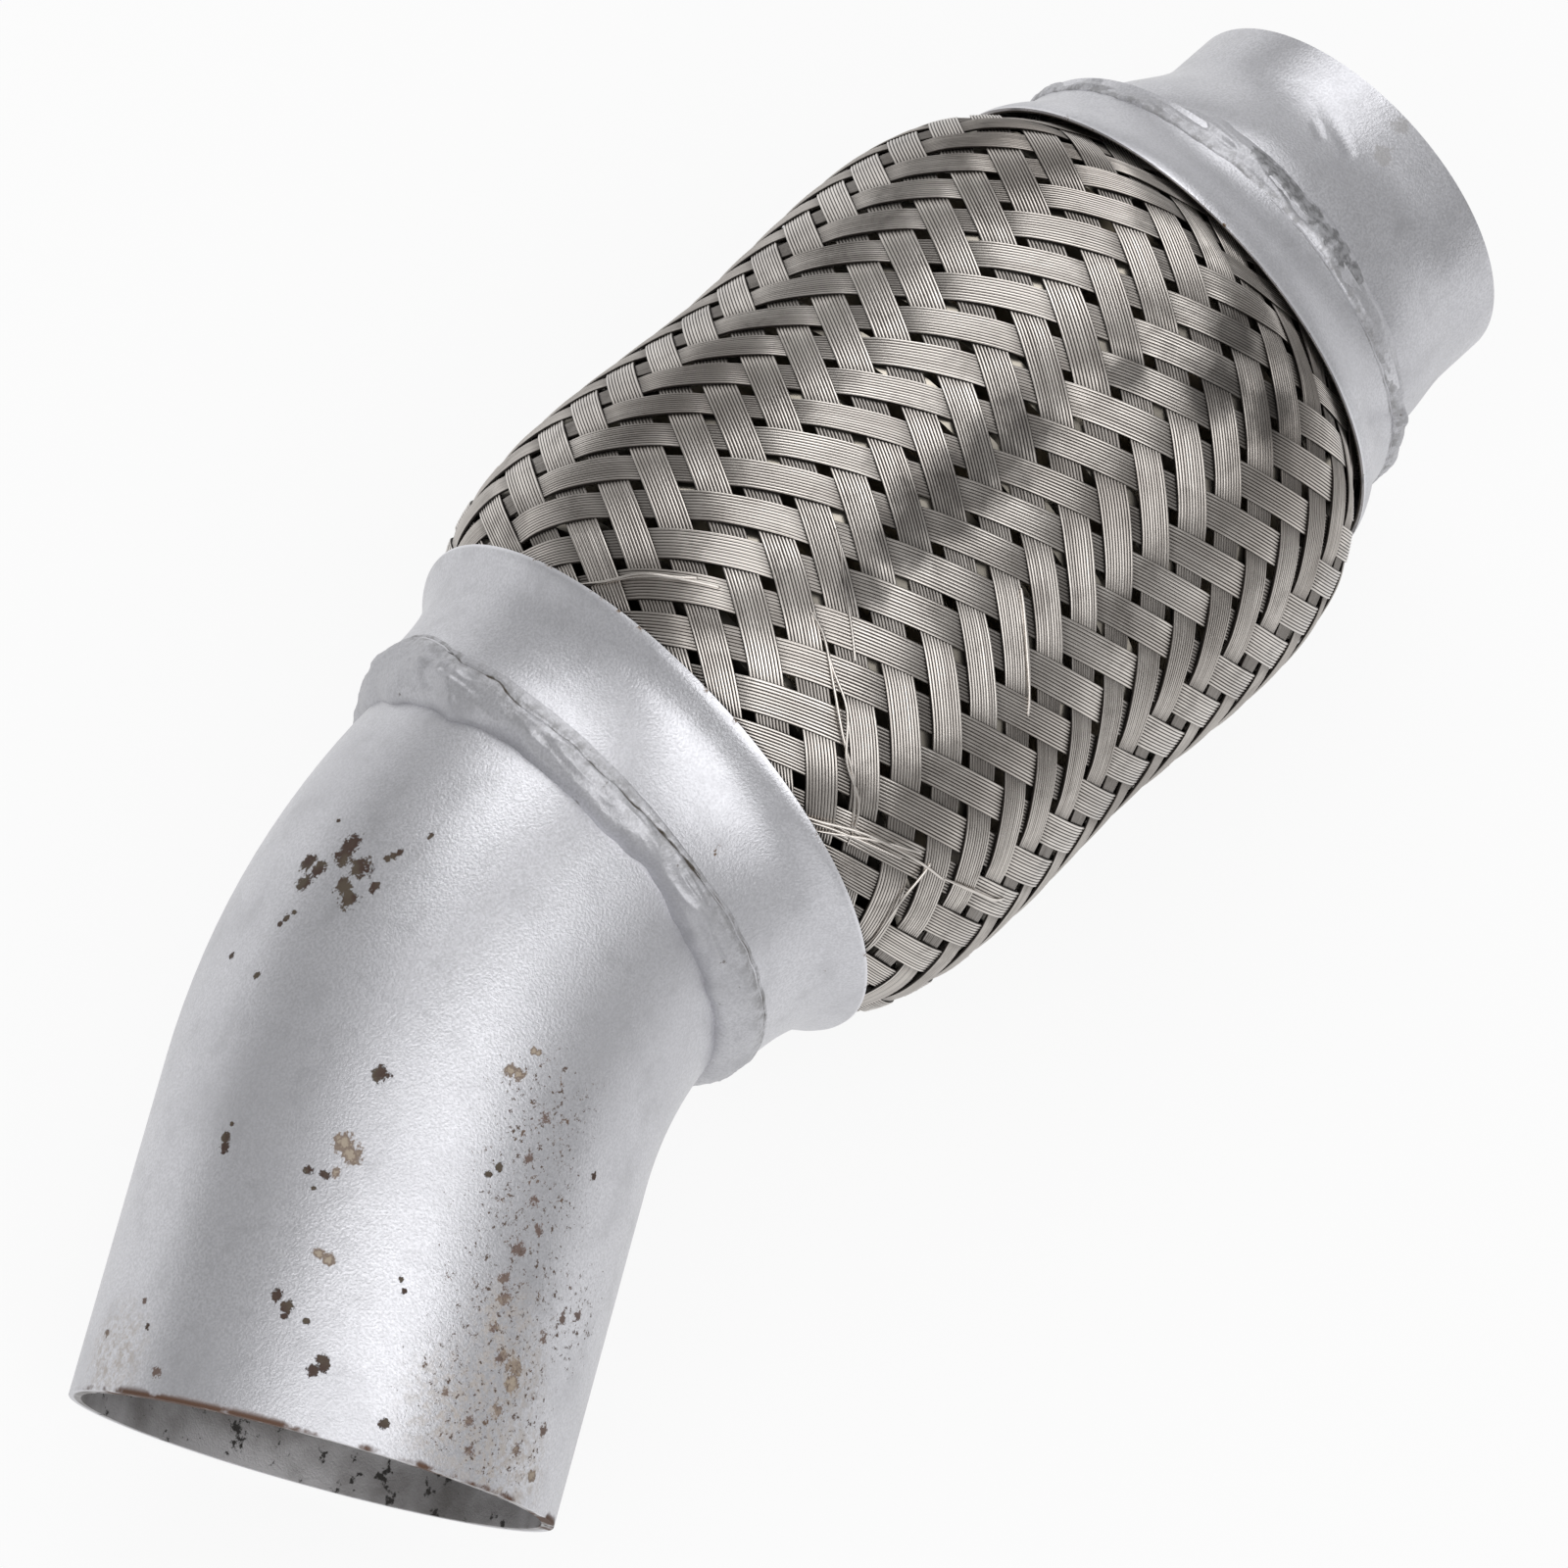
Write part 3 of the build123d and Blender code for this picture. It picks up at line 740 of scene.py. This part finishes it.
bare = weld_look.away([(on_pipe(x, angle, 34.2), reach * 1.5) for x, angle, reach in BARE])
bare = (bare + (weld_look.noise(620, 4, 0.65) - 0.5) * 1.4).ramp(0.7, 1.0, 1.0, 0.0)
weld_look.coat(bare * (0.45 + weld_look.noise(900, 3).ramp(0.4, 0.6) * 0.45), (0.17, 0.17, 0.175), 0.5, 0.6)
weld_look.rough = weld_look.rough + 0.09
weld_look.bump(weld_look.noise(430, 4, 0.6), 0.11)
weld_look.done()
for piece in (inlet_bead, outlet_bead):
    dress(piece, weld_look)

# %% [markdown]
# ## The braid
#
# The braid's middle line swells into two bellies and narrows under the caps.
# Each band is named by its own angle, and its place along the band by the angle
# of the band that it crosses there. The point where two such angles meet lies
# half way between them round the pipe, and as far along as they differ.

# %% Barrel line
BARREL = (
    (-62.4, 33.75), (-57.2, 33.8), (-53.2, 34.9), (-49.2, 38.0), (-44.0, 41.4), (-36.0, 43.7),
    (-24.0, 44.55), (-12.0, 44.05), (0.0, 43.5), (12.0, 44.05), (24.0, 44.55), (36.0, 43.5),
    (44.0, 40.7), (49.2, 36.4), (53.2, 34.2), (57.2, 33.3), (59.9, 33.25),
)
barrel_x = np.array([x for x, _ in BARREL])
barrel_r = np.array([r for _, r in BARREL])


def through(x, xs, ys):
    """A smooth curve through points, with the slope at each taken from its neighbours."""
    slope = np.gradient(ys, xs)
    i = np.clip(np.searchsorted(xs, x) - 1, 0, len(xs) - 2)
    step = xs[i + 1] - xs[i]
    t = (x - xs[i]) / step
    hump = (1 + 2 * t) * (1 - t) ** 2 * ys[i] + t**2 * (3 - 2 * t) * ys[i + 1]
    return hump + step * (t * (1 - t) ** 2 * slope[i] + t**2 * (t - 1) * slope[i + 1])


fine_x = np.linspace(barrel_x[0], barrel_x[-1], 1201)
fine_r = through(fine_x, barrel_x, barrel_r)
fine_s = np.concatenate([[0], np.cumsum(np.hypot(np.diff(fine_x), np.diff(fine_r)))])
fine_s -= np.interp(0, fine_x, fine_s)
print("length of the barrel line", round(float(np.ptp(fine_s)), 2))

# %% [markdown]
# Twenty-four bands run each way, of ten wires each. A band lies over two
# bands of the other hand and then under two, and the places where it goes over
# line up in rows along the pipe. Across a band each wire is a crest between two
# furrows, and two more columns of points close the band underneath. Each band
# drifts and widens a little along its way, so that no two are quite alike.
# `TURN` is how many degrees a band turns for each millimetre along the barrel.

# %% Bands
BANDS = 24
PITCH = 360 / BANDS
TURN = 2.2556
WIRES = 10
TOP = 2 * WIRES + 1
HALF_WIDTH = 5.45
RISE = 0.27
STEEPNESS = 1.9
WIRE_RADIUS = 0.2
OVER_ROW = 26.0
PHASE = {1: 18.5, -1: 26.0}
ROWS = 200
KNOTS = 9
DRIFT = 0.35
WIDTH_SPREAD = 0.035
HEIGHT_SPREAD = 0.012
rng = np.random.default_rng(7)


def weave(hand, own, met):
    """How far a band lies above or below the middle line: 1 is over, -1 is under."""
    turn_angle = ((own + met) / 2 - OVER_ROW) * BANDS / 2
    wave = np.cos(np.radians(turn_angle))
    return hand * np.tanh(STEEPNESS * wave) / np.tanh(STEEPNESS)


def slow_change(spread):
    """A value for each row that changes slowly along a band, by chance."""
    return np.interp(np.linspace(0, KNOTS - 1, ROWS), np.arange(KNOTS), rng.normal(0, spread, KNOTS))


def band(hand, index):
    """Points of one band, a row across it for each place along, and each point's marks.

    A point is named by two angles: its own band's, and that of the band it crosses there.
    """
    own = PHASE[hand] + PITCH * index
    reach = TURN * float(np.ptp(fine_s))
    met = np.linspace(own - reach, own + reach, ROWS)
    drift = slow_change(DRIFT)
    width = HALF_WIDTH * (1 + slow_change(WIDTH_SPREAD))
    groove = np.tile(np.where(np.arange(TOP) % 2, 0.0, 1.0), (ROWS, 1))
    own_at = own + drift[:, None] + width[:, None] * np.linspace(-1, 1, TOP)[None, :]
    met_at = np.repeat(met[:, None], TOP, 1)
    lift = weave(hand, own, met_at)
    height = RISE * lift + WIRE_RADIUS * (1 - 0.9 * groove)
    height += rng.normal(0, HEIGHT_SPREAD, (1, TOP))
    s = np.clip(hand * (met_at - own_at) / (2 * TURN), fine_s[0], fine_s[-1])
    x = np.interp(s, fine_s, fine_x)
    r = np.interp(s, fine_s, fine_r) + height
    below = np.interp(s[:, [-1, 0]], fine_s, fine_r) + RISE * lift[:, :2] - WIRE_RADIUS
    angle = np.radians((own_at + met_at) / 2)
    x = np.concatenate([x, x[:, [-1, 0]]], 1)
    r = np.concatenate([r, below], 1)
    angle = np.concatenate([angle, angle[:, [-1, 0]]], 1)
    shade = np.repeat(0.7 * rng.random(WIRES) + 0.3 * rng.random(), 2)
    marks = {
        "groove": np.concatenate([groove, np.ones((ROWS, 2))], 1),
        "shade": np.tile(np.concatenate([shade, [shade[-1], shade[-1], shade[0]]]), (ROWS, 1)),
        "lift": np.concatenate([lift, lift[:, :2]], 1),
    }
    return np.stack([x, r * np.cos(angle), r * np.sin(angle)], -1), marks


# %% [markdown]
# The bands of one hand make two pieces of twelve bands each, which keeps every
# piece well under the limit on triangles. The furrows between the wires and the
# band's lower corners are marked sharp, so that each wire shades as its own
# small cylinder.

# %% Braid pieces
def braid_piece(name, hand, indices):
    columns = TOP + 2
    net = loop_faces(ROWS, columns)
    if hand > 0:
        net = net[:, ::-1]
    points, faces, marks = [], [], {"groove": [], "shade": [], "lift": []}
    for count, index in enumerate(indices):
        band_points, band_marks = band(hand, index)
        points.append(band_points.reshape(-1, 3))
        faces.append(net + count * ROWS * columns)
        for key, values in band_marks.items():
            marks[key].append(values)
    piece = mesh_piece(name, from_pipe(np.concatenate(points)), np.concatenate(faces).tolist())
    for key, values in marks.items():
        mark(piece, key, np.concatenate(values))
    ends = np.zeros(len(piece.data.edges) * 2, np.int32)
    piece.data.edges.foreach_get("vertices", ends)
    column = ends.reshape(-1, 2) % columns
    along_band = column[:, 0] == column[:, 1]
    sharp = along_band & ((column[:, 0] % 2 == 0) | (column[:, 0] >= TOP))
    layer = piece.data.attributes.new("sharp_edge", "BOOLEAN", "EDGE")
    layer.data.foreach_set("value", sharp)
    return piece


braid = []
for hand, label in ((1, "right"), (-1, "left")):
    for half in (0, 1):
        indices = range(half * BANDS // 2, (half + 1) * BANDS // 2)
        braid.append(braid_piece(f"braid_{label}_{half}", hand, indices))
print("braid pieces", [len(piece.data.polygons) for piece in braid])

# %% [markdown]
# Some wires of the real braid are broken or pulled out of their band near the
# inlet. Each is a thin round wire through places on the barrel, given by its
# place along, its angle and how far it stands off.

# %% Loose wires
LOOSE = (
    ((-49.0, 40, 0.3), (-46.7, 46, 0.8), (-44.2, 51.4, 1.0), (-41.7, 57.5, 0.9), (-39.5, 62.5, 0.4)),
    ((-49.3, 38, 0.3), (-47.3, 45, 1.1), (-44.6, 50.5, 1.5), (-42.3, 55.5, 0.9), (-40.4, 58.5, 0.3)),
    (
        (-33.6, 76, 0.4), (-34.6, 80.1, 0.7), (-37.7, 87.2, 0.8), (-40.5, 94.6, 0.8), (-42.6, 102.8, 0.7),
        (-45.5, 111, 0.3),
    ),
    (
        (-34.0, 79, 0.4), (-36.3, 84.5, 0.8), (-38.3, 91.5, 1.1), (-41.9, 98.5, 0.9), (-43.3, 106.5, 0.6),
        (-46.5, 113, 0.3),
    ),
    ((-50.0, 101, 0.3), (-48.0, 105.8, 0.8), (-44.5, 111.9, 1.6), (-40.4, 121.7, 1.5), (-37.5, 129.9, 0.5)),
    ((-49.5, 104, 0.3), (-47.6, 107.5, 0.8), (-44.9, 113.5, 1.2), (-42.4, 119, 1.9)),
    ((-49.0, 107, 0.3), (-46.8, 110, 0.9), (-43.4, 114.5, 1.3), (-39.9, 120, 2.0)),
    ((-49.2, 141, 0.3), (-48.1, 139.1, 0.6), (-44.0, 129.1, 1.0), (-38.3, 124.9, 0.4)),
    ((-37.5, 129.5, 0.3), (-34.7, 135.1, 0.9), (-30.9, 142.9, 0.9), (-28.5, 147, 0.3)),
    ((-23.5, 68.5, 0.35), (-25.2, 71.7, 0.5), (-28.2, 76.6, 0.55), (-32.1, 83.9, 0.5), (-33.5, 86.5, 0.35)),
    ((-9.0, 96, 0.35), (-10.3, 98.7, 0.5), (-13.3, 104.8, 0.6), (-16.1, 111.2, 0.5), (-17.5, 114, 0.35)),
)
LOOSE_RADIUS = 0.19
ROUND = 8
ROWS_PER_PLACE = 9


def wire_rows(places):
    """Rings of points along a smooth path on the barrel."""
    x, angle, lift = np.array(places, float).T
    knots = np.arange(len(x), dtype=float)
    t = np.linspace(0, knots[-1], ROWS_PER_PLACE * len(x))
    x, angle, lift = (through(t, knots, values) for values in (x, angle, lift))
    r = np.interp(x, fine_x, fine_r) + lift
    turn = np.radians(angle)
    path = np.stack([x, r * np.cos(turn), r * np.sin(turn)], -1)
    way = np.gradient(path, axis=0)
    way /= np.linalg.norm(way, axis=1)[:, None]
    up_way = np.stack([np.zeros_like(x), np.cos(turn), np.sin(turn)], -1)
    cross = np.cross(way, up_way)
    cross /= np.linalg.norm(cross, axis=1)[:, None]
    up_way = np.cross(cross, way)
    around = np.arange(ROUND) * math.pi * 2 / ROUND
    across, upward = np.cos(around)[None, :, None], np.sin(around)[None, :, None]
    return path[:, None] + LOOSE_RADIUS * (across * cross[:, None] + upward * up_way[:, None])


wire_points, wire_faces, count = [], [], 0
for places in LOOSE:
    rows = wire_rows(places)
    last = count + ROUND * len(rows) - 1
    wire_faces += (loop_faces(len(rows), ROUND) + count)[:, ::-1].tolist()
    wire_faces += [list(range(count, count + ROUND)), list(range(last, last - ROUND, -1))]
    wire_points.append(rows.reshape(-1, 3))
    count = last + 1
loose_wires = mesh_piece("loose_wires", from_pipe(np.concatenate(wire_points)), wire_faces)
mark(loose_wires, "lift", np.ones(count))
braid.append(loose_wires)
print("loose wires", len(LOOSE), "faces", len(loose_wires.data.polygons))

# %% [markdown]
# The wires are warm grey stainless. Each crest is painted brighter, a painted
# highlight, and the furrow to the next wire is painted dark, a painted shade;
# where a band dips under another it is painted darker, also painted shade.
# Grease and soot lie in soft smudges on the upper side.

# %% Braid look
SMUDGES = (
    (6, 77, 6), (0, 77, 7), (-6, 77, 7), (-12, 77, 7), (-18, 77, 6), (29.6, 93, 6), (35.6, 103, 6),
    (21, 81, 4), (-26, 78, 5), (37.6, 88, 5),
)
wire_look = Look("braid_wire", roughness=0.3, metallic=1.0)
groove = wire_look.attribute("groove")
shade = wire_look.attribute("shade")
stain = wire_look.noise(48, 3)
wire_look.colour = wire_look.mix(shade, (0.42, 0.385, 0.355), (0.78, 0.735, 0.69))
wire_look.coat(stain.ramp(0.42, 0.68, 0.0, 0.75), (0.25, 0.222, 0.2))
wire_look.coat(wire_look.noise(150, 4, 0.65).ramp(0.5, 0.7, 0.0, 0.5), (0.16, 0.14, 0.125))
# painted highlight: the crest of each wire is painted brighter
wire_look.coat(groove.ramp(0.0, 0.45, 0.6, 0.0), (0.92, 0.87, 0.82))
# painted shade: the furrows between wires and the band's underside are painted near black
wire_look.coat(groove.ramp(0.5, 0.9), (0.025, 0.02, 0.017), 0.6, 0.6)
# painted shade: where a band dips under another it is painted darker
wire_look.coat(wire_look.attribute("lift").ramp(-0.85, 0.45, 0.55, 0.0), (0.05, 0.043, 0.038), 0.4)
smudge = wire_look.away([(on_pipe(x, angle, 44.3), reach) for x, angle, reach in SMUDGES])
smudge = (smudge + (wire_look.noise(260, 3) - 0.5) * 0.9).ramp(0.35, 1.05, 0.7, 0.0)
wire_look.coat(smudge, (0.03, 0.027, 0.025), 0.5)
wire_look.done()
for piece in braid:
    dress(piece, wire_look)

# %% [markdown]
# ## The caps
#
# Each cap is sheet formed over a turning die: a plain neck that widens like a
# trumpet to a thin lip round the braid. Its outer line is given by how far back
# from the lip a point is, and the inner line is the same, one sheet thickness
# in. Blender's spin turns the closed section round the pipe.

# %% Spun caps
SHEET = 0.8
LIP_EDGE = 0.7
SECTION_STEPS = 26
SPIN_STEPS = 192
SMOOTH_BELOW = math.radians(40)


def cap_section(lip_x, profile, length):
    """The cap's cut face, as (x, r) from the lip along the outside and back along the inside."""
    way = math.copysign(1.0, lip_x)
    at, radius = np.array(profile, float).T
    steps = np.concatenate([np.linspace(0, at[-1], SECTION_STEPS), [length]])
    outer = [(lip_x + way * d, float(through(np.array([min(d, at[-1])]), at, radius)[0])) for d in steps]
    inner = [(x, r - SHEET) for x, r in reversed(outer)]
    inner[-1] = (lip_x, outer[0][1] - LIP_EDGE)
    return outer + inner


def spun_cap(name, section):
    mesh = bpy.data.meshes.new(name)
    places = from_pipe([(x, r, 0.0) for x, r in section])
    edges = [(i, (i + 1) % len(section)) for i in range(len(section))]
    mesh.from_pydata([tuple(p) for p in places], edges, [])
    piece = bpy.data.objects.new(name, mesh)
    bpy.context.scene.collection.objects.link(piece)
    bpy.ops.object.select_all(action="DESELECT")
    bpy.context.view_layer.objects.active = piece
    piece.select_set(True)
    bpy.ops.object.mode_set(mode="EDIT")
    bpy.ops.mesh.select_all(action="SELECT")
    bpy.ops.mesh.spin(steps=SPIN_STEPS, angle=2 * math.pi, center=middle, axis=along)
    bpy.ops.mesh.select_all(action="SELECT")
    bpy.ops.mesh.remove_doubles(threshold=0.00001)
    bpy.ops.mesh.normals_make_consistent(inside=False)
    bpy.ops.object.mode_set(mode="OBJECT")
    bpy.ops.object.shade_smooth_by_angle(angle=SMOOTH_BELOW)
    return piece


# %% [markdown]
# The inlet's lip rolls over at its edge, the outlet's opens more evenly. Each
# cap stands in for the CAD's, which has a banded lip.

# %% The two caps
inlet_profile = (
    (0, 40.2), (0.5, 40.1), (1.1, 39.7), (1.8, 39.0), (2.6, 38.25), (3.5, 37.5), (4.6, 36.85), (6, 36.3),
    (7.5, 35.9), (9, 35.6), (10.5, 35.4), (12, 35.25), (13.5, INLET_NECK),
)
outlet_profile = (
    (0, 38.5), (1, 38.3), (2, 37.9), (3, 37.4), (4, 36.8), (5, 36.2), (6, 35.7), (7, 35.3), (8, 35.0),
    (9.2, 34.8), (10.5, OUTLET_NECK),
)
for name, lip_x, profile, length, body in (
    ("inlet_cap_spun", -LIP_X, inlet_profile, 14.7, "inlet_side"),
    ("outlet_cap_spun", LIP_X, outlet_profile, 12.2, "outlet_side"),
):
    cap = spun_cap(name, cap_section(lip_x, profile, length))
    dress(cap, cap_look)
    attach(cap, body)
    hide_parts(name.removesuffix("_spun"))
    print(name, len(cap.data.polygons), "faces")

# %% [markdown]
# ## Riding on the frame
#
# The braid, the bellows and the liner lie between the two sides of the joint.
# Copies of the CAD bellows and liner stand in for the CAD's own, and these and
# the braid have their places baked into their meshes. Copies of the CAD
# bellows and liner stand in for the stiff ones.


def bend_piece(piece):
    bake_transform(piece)


for node_name, slot in (("bellows", "bellows_steel"), ("interlock_liner", "inner_steel")):
    source = frame["nodes"][node_name]
    copy = bpy.data.objects.new(f"{node_name}_bending", source.data.copy())
    bpy.context.scene.collection.objects.link(copy)
    bend_piece(copy)
    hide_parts(node_name)
for piece in braid:
    bend_piece(piece)
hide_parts("wire_braid")

# %% [markdown]
# ## Floor, light and camera
#
# The camera looks steeply down on the pipe from nine tenths of a metre, with a
# long lens. Its three axes are given in the pipe's own, and `SEEN_AT` is where
# the middle of the flexible part lies in a picture of 1600 pixels.

# %% Camera
VIEW_RIGHT = (0.6904, -0.5989, 0.4058)
VIEW_UP = (0.6197, 0.7790, 0.0955)
VIEW_BACK = (-0.3733, 0.1855, 0.9090)
DISTANCE = 900.0
FOCUS = 6901.0
IMAGE = 1600.0
SEEN_AT = (920.1, 571.6)
SENSOR = 36

right, up, behind = (turned @ Vector(v) for v in (VIEW_RIGHT, VIEW_UP, VIEW_BACK))
shift_right = (SEEN_AT[0] - IMAGE / 2) / FOCUS * DISTANCE * MM
shift_up = (IMAGE / 2 - SEEN_AT[1]) / FOCUS * DISTANCE * MM
camera_place = middle - shift_right * right - shift_up * up + DISTANCE * MM * behind
camera_data = bpy.data.cameras.new("camera")
camera_data.sensor_width = SENSOR
camera_data.lens = FOCUS / IMAGE * SENSOR
camera_data.clip_start = 0.05
camera = bpy.data.objects.new("camera", camera_data)
bpy.context.scene.collection.objects.link(camera)
camera.matrix_world = Matrix.Translation(camera_place) @ Matrix((right, up, behind)).transposed().to_4x4()
bpy.context.scene.camera = camera
print("camera", [round(v, 3) for v in camera_place])

# %% [markdown]
# The floor is a plain pale sheet. It takes a faint shadow, and to the camera and
# in mirrors it also glows most of the way to white, as the cut-out background of
# the photo.

# %% Floor
bpy.ops.mesh.primitive_plane_add(size=6, location=(0, 0, -0.0004))
floor = bpy.context.active_object
floor.name = "floor"
floor_look = Look("floor_white", roughness=0.9, colour=(0.72, 0.72, 0.72))
light_path = floor_look.node("ShaderNodeLightPath")
seen = Val(floor_look.tree, light_path.outputs["Is Camera Ray"])
for kind in ("Is Glossy Ray", "Is Transmission Ray"):
    seen = seen + Val(floor_look.tree, light_path.outputs[kind])
glow = floor_look.node("ShaderNodeEmission", Color=(1, 1, 1, 1), Strength=1.0)
blend = floor_look.node("ShaderNodeMixShader", Fac=seen * 0.9)
floor_look.tree.links.new(floor_look.shader.outputs[0], blend.inputs[1])
floor_look.tree.links.new(glow.outputs[0], blend.inputs[2])
floor_look.tree.links.new(blend.outputs[0], floor_look.tree.nodes["Material Output"].inputs["Surface"])
dress(floor, floor_look)
print("floor", [round(side_length, 2) for side_length in floor.dimensions])

# %% [markdown]
# One big soft box stands near the camera and a little to its right, which gives
# the broad highlight along the tubes. A weaker one fills from the other side.

# %% Lights
def soft_light(name, azimuth, elevation, distance, size, power):
    data = bpy.data.lights.new(name, "AREA")
    data.shape = "RECTANGLE"
    data.size, data.size_y = size
    data.energy = power
    light = bpy.data.objects.new(name, data)
    a, e = math.radians(azimuth), math.radians(elevation)
    place = Vector((math.cos(a) * math.cos(e), math.sin(a) * math.cos(e), math.sin(e))) * distance
    light.location = place
    light.rotation_euler = place.to_track_quat("Z", "Y").to_euler()
    bpy.context.scene.collection.objects.link(light)


soft_light("key", 229, 61, 1.5, (2.1, 1.4), 17)
soft_light("rear", 45, 50, 1.2, (0.9, 0.9), 5)
world = bpy.data.worlds.new("studio")
bpy.context.scene.world = world
world.use_nodes = True
sky = world.node_tree.nodes["Background"]
sky.inputs["Color"].default_value = (1, 1, 1, 1)
sky.inputs["Strength"].default_value = 0.3
bpy.context.scene.view_settings.view_transform = "Standard"
